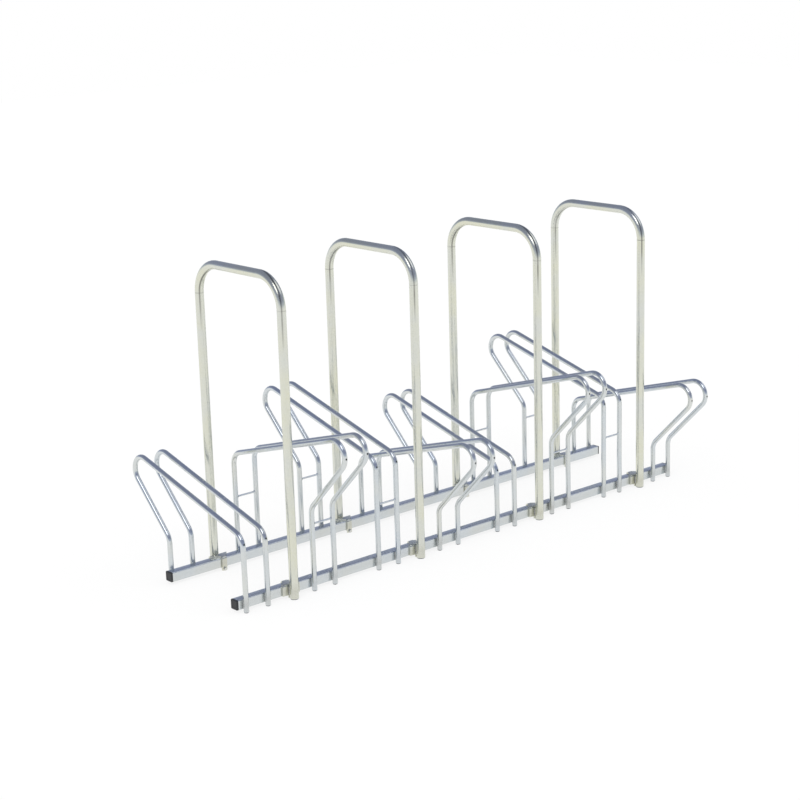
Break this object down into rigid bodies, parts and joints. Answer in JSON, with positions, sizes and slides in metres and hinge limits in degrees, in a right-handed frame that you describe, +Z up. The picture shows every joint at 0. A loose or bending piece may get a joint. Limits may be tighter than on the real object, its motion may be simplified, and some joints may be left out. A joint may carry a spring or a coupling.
{
  "type": "floor bike rack",
  "caption": "Floor bike rack: two square rails with staggered bent-tube wheel holders facing both ways and tall locking hoops.",
  "frame": {"origin": "on the floor, under the middle of the rack's outline", "axes": "+X along the rails to the right as seen from the front, +Y across the rails to the rear, +Z up from the floor"},
  "size_m": [1.87, 0.72, 0.965],
  "materials": {
    "galvanised_steel": "bright zinc, satin",
    "zinc_fasteners": "zinc plated",
    "black_plastic": "matt",
    "grey_plastic": "matt"
  },
  "bodies": {
    "root": {"rail_front": "galvanised_steel", "rail_front_left_cap": "black_plastic", "rail_front_right_cap": "black_plastic", "rail_rear": "galvanised_steel", "rail_rear_left_cap": "black_plastic", "rail_rear_right_cap": "black_plastic", "holder_1_left_tube": "galvanised_steel", "holder_1_right_tube": "galvanised_steel", "holder_2_left_tube": "galvanised_steel", "holder_2_right_tube": "galvanised_steel", "holder_2_link_rods": "galvanised_steel", "holder_3_left_tube": "galvanised_steel", "holder_3_right_tube": "galvanised_steel", "holder_3_link_rods": "galvanised_steel", "holder_4_left_tube": "galvanised_steel", "holder_4_right_tube": "galvanised_steel", "holder_5_left_tube": "galvanised_steel", "holder_5_right_tube": "galvanised_steel", "holder_6_left_tube": "galvanised_steel", "holder_6_right_tube": "galvanised_steel", "holder_6_link_rods": "galvanised_steel", "holder_7_left_tube": "galvanised_steel", "holder_7_right_tube": "galvanised_steel", "holder_7_link_rods": "galvanised_steel", "holder_8_left_tube": "galvanised_steel", "holder_8_right_tube": "galvanised_steel", "holder_feet": "grey_plastic", "hoop_1": "galvanised_steel", "hoop_1_front_plate": "galvanised_steel", "hoop_1_rear_plate": "galvanised_steel", "hoop_2": "galvanised_steel", "hoop_2_front_plate": "galvanised_steel", "hoop_2_rear_plate": "galvanised_steel", "hoop_3": "galvanised_steel", "hoop_3_front_plate": "galvanised_steel", "hoop_3_rear_plate": "galvanised_steel", "hoop_4": "galvanised_steel", "hoop_4_front_plate": "galvanised_steel", "hoop_4_rear_plate": "galvanised_steel", "plate_bolts": "zinc_fasteners", "hoop_feet": "grey_plastic"}
  },
  "joints": []
}
